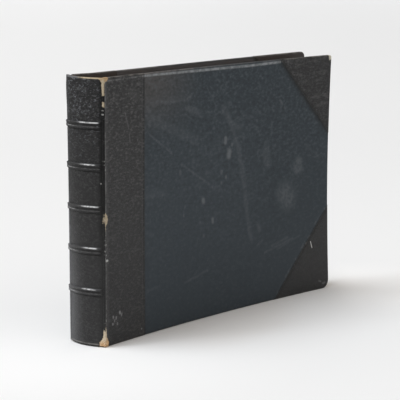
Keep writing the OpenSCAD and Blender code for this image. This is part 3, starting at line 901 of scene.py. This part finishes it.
def make_cover(side):
    strip = covering(side, leather_thickness)
    cut(strip, *strip_edge)
    score(strip, *strip_edge, strip_line, line_depth)
    thicken(strip.solid, leather_thickness - glue_gap)
    cover_piece(side, "joint_leather", strip, black_leather)

    for name, diagonal in (("head_corner", head_diagonal), ("tail_corner", tail_diagonal)):
        corner = covering(side, leather_thickness)
        cut(corner, *turned(diagonal))
        score(corner, *turned(diagonal), corner_line, line_depth)
        thicken(corner.solid, leather_thickness - glue_gap)
        cover_piece(side, name, corner, black_leather)

    cloth = covering(side, cloth_thickness)
    cut(cloth, *turned(strip_edge))
    cut(cloth, *head_diagonal)
    cut(cloth, *tail_diagonal)
    thicken(cloth.solid, cloth_thickness - glue_gap)
    cover_piece(side, "cloth", cloth, blue_green_cloth)

    low = (joint_gap, 0.0)
    high = (cover_width, cover_height)
    radii = (tail_corner_radius[side], head_corner_radius[side])
    depths = (leather_thickness, board_inside)
    board = solid_slab(low, high, radii, cover_steps, leather_thickness, depths, board_arris)
    cover_piece(side, "board", board, millboard)
    inset = leather_thickness + turn_in
    depths = (board_inside, board_inside + cloth_thickness)
    infill = solid_slab(low, high, (0.0, 0.0), infill_steps, inset, depths, infill_arris)
    cover_piece(side, "infill", infill, lining_paper)
    depths = (cover_depth - pastedown_thickness, cover_depth)
    square = (0.0, 0.0)
    pastedown = solid_slab(low, high, square, cover_steps, pastedown_margin, depths, pastedown_arris)
    cover_piece(side, "pastedown", pastedown, end_paper)


# Spine

def spine_plan():
    """Outside of the spine from above: x, y, angle from the middle and angle on the ridge of the joint"""
    bead_start = -18.0
    bead_end = -221.0
    bead_steps = 26
    half_arc = 28.0
    arc_share = 0.975
    arc_steps = 71
    front_bead = []
    for i in range(bead_steps + 1):
        degrees = bead_start + (bead_end - bead_start) * i / bead_steps
        angle = math.radians(degrees)
        x = joint_ridge * math.cos(angle)
        y = joint_ridge * math.sin(angle) - joint_y
        front_bead.append((x, y, -half_arc, degrees))
    arc = []
    for i in range(arc_steps + 1):
        degrees = half_arc * (i / arc_steps * 2 - 1) * arc_share
        angle = math.radians(degrees)
        arc.append((arc_x - arc_outside * math.cos(angle), arc_outside * math.sin(angle), degrees, 0.0))
    back_bead = [(x, -y, -angle, -degrees) for x, y, angle, degrees in reversed(front_bead)]
    return front_bead + arc + back_bead


def bump(value, width):
    return math.exp(-(value / width) ** 2)


def band_section(z, angle, ridge):
    """Distance that the raised bands stand out of the spine, and their painted shading: painted highlights
    on their upper and lower edges, painted shade across their middle and at their foot
    """
    fade = smooth_step(-27.6, -24.5, angle)
    if ridge > 0:
        fade *= smooth_step(80.0, 130.0, ridge) * 0.75
    lower = 0.3 + 0.25 * smooth_step(5.0, 18.0, angle)
    out = 0.0
    rub = 0.0
    for middle, (start, stop) in zip(band_heights, band_lights):
        up = z - middle
        upper = smooth_step(start - 2, start + 4, angle)
        upper *= 1 - 0.75 * smooth_step(stop - 7, stop + 5, angle)
        out += band_rise * (1 - smooth_step(2.4, band_half, abs(up)))
        out += 0.55 * bump(up - 2.2, 0.75) + 0.25 * bump(up + 1.6, 0.8)
        out -= 0.2 * bump(abs(up) - band_half - 0.4, 0.4)
        # Painted highlight on the upper edge, painted reflection on the lower edge, painted shade across the
        # middle and at the foot
        rub += bump(up - 2.7, 0.62) * upper + bump(up + 1.4, 0.6) * lower
        rub -= 0.9 * bump(up - 0.4, 0.7) + bump(up + band_half + 0.2, 0.6)
    return out * fade, rub * fade


def spine_levels():
    """Heights along the outside of the spine, close together at the bands"""
    reach = band_half + 1.5
    near = [middle + reach * step / 13 for middle in band_heights for step in range(-13, 14)]
    bottom = spine_low + roll_radius
    top = spine_head - roll_radius
    between = [bottom + (top - bottom) * i / 70 for i in range(71)]
    clear = [z for z in between if min(abs(z - middle) for middle in band_heights) > reach + 0.5]
    return sorted(near + clear)


def make_spine():
    """Leather of the spine, with its raised bands, turned in at the head and tail"""
    plan = spine_plan()
    levels = spine_levels()
    solid = bmesh.new()
    rub_layer = solid.verts.layers.float.new("rub")
    rows = []
    for i, (x, y, angle, ridge) in enumerate(plan):
        before = plan[max(i - 1, 0)]
        after = plan[min(i + 1, len(plan) - 1)]
        along = Vector((after[0] - before[0], after[1] - before[1]))
        outwards = Vector((-along.y, along.x)).normalized()
        near_joint = smooth_step(23.5, 27.0, abs(angle))
        radius = roll_radius + (joint_roll_radius - roll_radius) * near_joint
        flap = turn_in + (joint_flap - turn_in) * near_joint
        profile = [(2 * radius, spine_low + flap, 0.0)]
        for t in range(0, 181, 20):
            turn = math.radians(t)
            profile.append((radius * (1 + math.cos(turn)), spine_low + radius * (1 - math.sin(turn)), 0.0))
        for z in levels:
            rise, rub = band_section(z, angle, ridge)
            profile.append((-rise, z, rub))
        for t in range(180, -1, -20):
            turn = math.radians(t)
            profile.append((radius * (1 + math.cos(turn)), spine_head - radius * (1 - math.sin(turn)), 0.0))
        profile.append((2 * radius, spine_head - flap, 0.0))
        row = []
        for inwards, z, rub in profile:
            to_back = smooth_step(0.0, 27.0, angle)
            outside = smooth_step(40.0, 170.0, ridge) if ridge > 0 else 1.0
            swell = head_swell * smooth_step(*swell_span, z) * to_back * outside
            cap = head_cap * smooth_step(*cap_span, z) * to_back * outside
            lift = head_lift * smooth_step(*cap_span, z) * to_back
            across = x - outwards.x * (inwards - swell) - cap
            beside = y - outwards.y * (inwards - swell) + back_lean(z) * to_back
            point = solid.verts.new(spot(*clear_of_cover(across, beside, z, ridge), z + lift))
            point[rub_layer] = rub
            row.append(point)
        rows.append(row)
    for first, second in zip(rows, rows[1:]):
        for k in range(len(first) - 1):
            solid.faces.new((first[k], first[k + 1], second[k + 1], second[k]))
    thicken(solid, skin_thickness * MM)
    new_piece("spine_leather_piece", solid, "spine", black_leather, ["spine_leather"])


# Leaves

def joined(solids):
    """One mesh from several"""
    whole = bmesh.new()
    for solid in solids:
        mesh = bpy.data.meshes.new("side")
        solid.to_mesh(mesh)
        solid.free()
        whole.from_mesh(mesh)
        bpy.data.meshes.remove(mesh)
    return whole


def make_sheet(number, name, body, finish, sides, corner, radius):
    """Makes a sheet, or one on each side of a leaf, in the outline of its node and bent with the covers"""
    low, high = (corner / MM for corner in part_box(name))
    start = (low.x - axis_x, low.z)
    end = (high.x - axis_x, high.z)
    solids = []
    for depths in sides:
        slab = solid_slab(start, end, (corner, corner), sheet_steps, 0.0, depths, radius)
        solids.append(slab.bend(lambda x, depth, z: sheet_spot(number, x, depth, z)))
    new_piece(f"{name}_piece", joined(solids), body, finish, [name])


def make_leaves():
    half = leaf_thickness / 2
    mounted = half + print_thickness
    for number in range(1, leaf_count + 1):
        body = f"leaf_{number:02d}"
        make_sheet(number, body, body, leaf_card, [(-half, half)], leaf_corner, leaf_arris)
        make_sheet(number, f"prints_{number:02d}", body, print_finish(number),
                   [(-mounted, -half), (half, mounted)], print_corner, print_arris)
    for number, name in ((0, "front"), (sheet_count - 1, "back")):
        make_sheet(number, f"{name}_endpaper", f"{name}_free_endpaper", end_paper,
                   [(-endpaper_thickness / 2, endpaper_thickness / 2)], endpaper_corner, endpaper_arris)


def finish_nodes():
    """Finishes of the pieces that keep the shape of their nodes"""
    finishes = {"guard": linen, "spine_lining": linen, "spine_stiffener": millboard,
                "raised_band": millboard, "spine_hollow": lining_paper, "sewing_tapes": tape_weave,
                "sewing_thread": thread_finish, "head_band": worked_silk, "tail_band": worked_silk}
    for name, node in frame["nodes"].items():
        for start, finish in finishes.items():
            if name.startswith(start):
                node.data.materials.clear()
                node.data.materials.append(finish)


make_cover(FRONT)
make_cover(BACK)
make_spine()
make_leaves()
finish_nodes()


# Camera

def make_camera():
    azimuth = math.radians(-50.232)
    elevation = math.radians(9.098)
    roll = math.radians(0.125)
    distance = 1919.43
    middle = spot(172.15, 0.0, 123.32)
    back = Vector((math.sin(azimuth) * math.cos(elevation), -math.cos(azimuth) * math.cos(elevation),
                   math.sin(elevation)))
    lens = bpy.data.cameras.new("camera")
    lens.sensor_width = 36.0
    lens.lens = 164.7
    lens.clip_end = 200.0
    made = bpy.data.objects.new("camera", lens)
    bpy.context.scene.collection.objects.link(made)
    made.location = middle + back * distance * MM
    turn = (-back).to_track_quat("-Z", "Y").to_matrix().to_4x4()
    made.rotation_euler = turn.to_euler()
    made.rotation_euler.rotate_axis("Z", roll)
    bpy.context.scene.camera = made


def floor_finish():
    """Pale matt paper in slightly different tones around the album, which are painted light and shade:
    darker along two directions and far away, a painted pool of light by the spine, a painted warm shadow
    before the front cover and painted light past the fore-edge
    """
    made = Finish("pale_floor", {"Specular IOR Level": 0.0})
    # Two directions on the floor, square to each other
    to_front = made.x * 0.64 - made.y * 0.77
    to_back = made.x * 0.77 + made.y * 0.64
    # Painted shade, darker along both directions and far away
    shade = made.rise(to_front, -700.0, 900.0) * 0.43 + made.rise(to_back, -300.0, 1800.0) * 0.43
    shade = shade + made.rise(to_back, 1800.0, 5000.0) * 0.14
    # Painted pool of light on the floor beside the spine
    painted_light_by_spine = made.fall(made.length(made.x + 60.0, made.y + 20.0), 20.0, 260.0)
    fibre = made.noise(3.0, 3.0)
    made.colour = made.mix(shade, (0.90, 0.90, 0.90), (0.772, 0.772, 0.772))
    made.lay(painted_light_by_spine * 0.85, (0.97, 0.97, 0.97))
    # Painted warm shadow tone on the floor before the front cover
    painted_shadow_before_cover = made.fall(abs(made.y + 55.0), 25.0, 75.0) * made.rise(made.x, 20.0, 120.0)
    made.lay(painted_shadow_before_cover * made.fall(to_front, 170.0, 230.0) * 0.5, (0.80, 0.775, 0.75))
    # Painted light on the floor past the fore-edge, lightening the album's shadow there
    painted_light_past_edge = made.rise(to_front - cover_width * 0.64, 0.0, 50.0) * made.fall(to_front, 300.0, 420.0)
    painted_light_past_edge = painted_light_past_edge * made.fall(abs(to_back - 285.0), 40.0, 160.0)
    made.lay(painted_light_past_edge * 0.85, (0.97, 0.967, 0.963))
    return made.done(0.85 + fibre * 0.1, fibre, 0.02)


def make_floor():
    """Round floor that curves up into a low wall"""
    flat = 7.0
    curve = 1.2
    wall_top = 1.7
    profile = [(0.0, 0.0), (2.0, 0.0), (flat, 0.0)]
    for degrees in range(10, 91, 10):
        angle = math.radians(degrees)
        profile.append((flat + curve * math.sin(angle), curve - curve * math.cos(angle)))
    profile.append((flat + curve, wall_top))
    solid = bmesh.new()
    line = [solid.verts.new((reach, 0.0, rise)) for reach, rise in profile]
    edges = [solid.edges.new(pair) for pair in zip(line, line[1:])]
    turn = {"cent": (0, 0, 0), "axis": (0, 0, 1), "angle": math.tau, "steps": 64, "use_merge": True}
    bmesh.ops.spin(solid, geom=line + edges, **turn)
    bmesh.ops.remove_doubles(solid, verts=solid.verts[:], dist=0.0001)
    bmesh.ops.recalc_face_normals(solid, faces=solid.faces[:])
    mesh = bpy.data.meshes.new("floor")
    solid.to_mesh(mesh)
    solid.free()
    mesh.polygons.foreach_set("use_smooth", [True] * len(mesh.polygons))
    mesh.materials.append(floor_finish())
    floor = bpy.data.objects.new("floor", mesh)
    bpy.context.scene.collection.objects.link(floor)


def make_lights():
    """Soft light from above, with a broad lamp high over the spine and a small one beside it"""
    for name, energy, angle, direction in (("broad_lamp", 1.82, 42.0, (-0.366, 0.211, 0.906)),
                                           ("small_lamp", 0.26, 12.0, (-0.85, 0.42, 0.95))):
        lamp = bpy.data.lights.new(name, "SUN")
        lamp.energy = energy
        lamp.angle = math.radians(angle)
        lamp.color = (0.90, 0.95, 1.0)
        made = bpy.data.objects.new(name, lamp)
        bpy.context.scene.collection.objects.link(made)
        made.rotation_euler = Vector(direction).to_track_quat("Z", "Y").to_euler()
    world = bpy.data.worlds.new("studio")
    bpy.context.scene.world = world
    world.use_nodes = True
    sky = Nodes(world.node_tree)
    place = sky.node("TexCoord", {}, {}, "Generated")
    height = sky.node("SeparateXYZ", {}, {0: place}, "Z")
    level = sky.node("MapRange", {}, {"Value": height, "To Min": 0.06, "To Max": 0.73})
    background = sky.tree.nodes["Background"]
    sky.feed(background.inputs["Strength"], level)
    background.inputs["Color"].default_value = (1.0, 0.94, 0.88, 1)


make_camera()
make_floor()
make_lights()
bpy.context.scene.view_settings.view_transform = "Standard"
